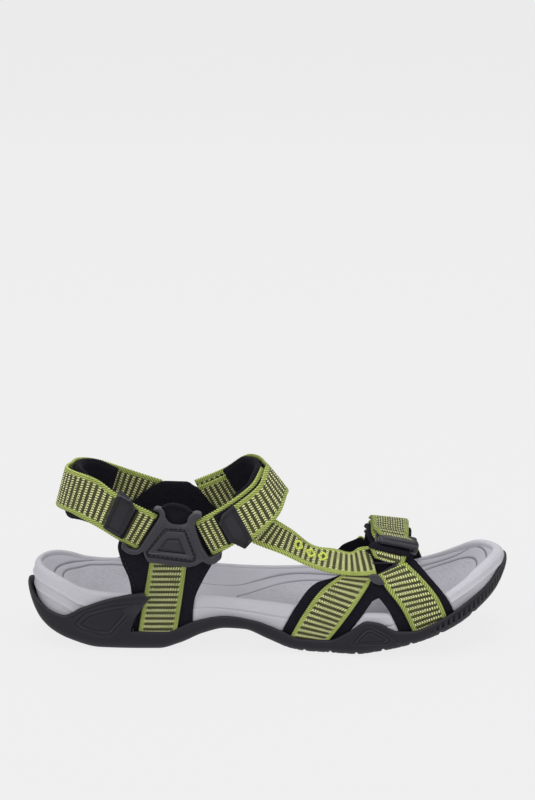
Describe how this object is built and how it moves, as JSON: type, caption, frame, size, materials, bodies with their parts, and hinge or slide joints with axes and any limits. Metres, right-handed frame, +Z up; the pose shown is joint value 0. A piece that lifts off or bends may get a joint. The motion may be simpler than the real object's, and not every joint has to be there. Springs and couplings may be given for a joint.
{
  "type": "strappy sport sandal",
  "caption": "Open sport sandal with woven straps, hub plates at the ankle, touch-fastened heel and ankle closures and a buckled toe strap on a contoured foam and rubber sole.",
  "frame": {"origin": "middle of the bounding box, on the ground under the sole", "axes": "+X from heel to toe, +Y towards the inner side of the right foot, +Z up"},
  "size_m": [0.2901, 0.0978, 0.1091],
  "materials": {
    "rubber": "matte black moulded tread rubber",
    "shank": "satin grey-green moulded plate",
    "foam": "matte grey moulded foam",
    "footbed_foam": "matte grey foam with pebbled zones",
    "plastic": "satin charcoal moulded plastic",
    "neoprene": "matte black knit-faced neoprene",
    "webbing": "lime and dark olive ribbed polyester webbing",
    "fastener": "black hook and loop tape"
  },
  "bodies": {
    "root": {"outsole": "rubber", "arch_insert": "shank", "midsole": "foam", "footbed": "footbed_foam", "outer_hub_lining": "neoprene", "inner_hub_lining": "neoprene", "outer_side_webbing": "webbing", "inner_side_webbing": "webbing", "outer_hub_plate": "plastic", "inner_hub_plate": "plastic", "outer_leg_lining": "neoprene", "inner_leg_lining": "neoprene", "outer_rear_leg_webbing": "webbing", "inner_rear_leg_webbing": "webbing", "outer_front_leg_webbing": "webbing", "inner_front_leg_webbing": "webbing", "outer_ring": "plastic", "inner_ring": "plastic", "heel_base_webbing": "webbing", "heel_loop_patch": "fastener", "heel_closure_webbing": "webbing", "heel_pad": "neoprene", "ankle_base_webbing": "webbing", "ankle_loop_patch": "fastener", "ankle_closure_webbing": "webbing", "ankle_pad": "neoprene", "instep_webbing": "webbing", "toe_strap_webbing": "webbing", "toe_strap_pad": "neoprene"},
    "heel_flap": {"heel_flap_webbing": "webbing", "heel_hook_patch": "fastener", "heel_pull_tab": "plastic"},
    "ankle_flap": {"ankle_flap_webbing": "webbing", "ankle_hook_patch": "fastener", "ankle_pull_tab": "plastic"},
    "buckle": {"buckle_frame": "plastic", "buckle_lever": "plastic"},
    "toe_tail": {"toe_strap_tail": "webbing"}
  },
  "joints": [
    {"name": "heel_flap_peel", "type": "hinge", "parent": "root", "child": "heel_flap", "pos_m": [-0.12166, -0.01939, 0.09456], "axis": [-0.2671, 0, -0.9637], "range_deg": [0, 90]},
    {"name": "ankle_flap_peel", "type": "hinge", "parent": "root", "child": "ankle_flap", "pos_m": [0.00537, -0.01909, 0.0999], "axis": [-0.5885, 0.0674, 0.8057], "range_deg": [0, 90]},
    {"name": "buckle_lift", "type": "hinge", "parent": "root", "child": "buckle", "pos_m": [0.075, -0.02893, 0.05925], "axis": [0.9816, 0, -0.1908], "range_deg": [0, 35]},
    {"name": "toe_tail_lift", "type": "hinge", "parent": "root", "child": "toe_tail", "pos_m": [0.0726, -0.00967, 0.06655], "axis": [0.9892, 0, -0.1463], "range_deg": [0, 70]}
  ]
}
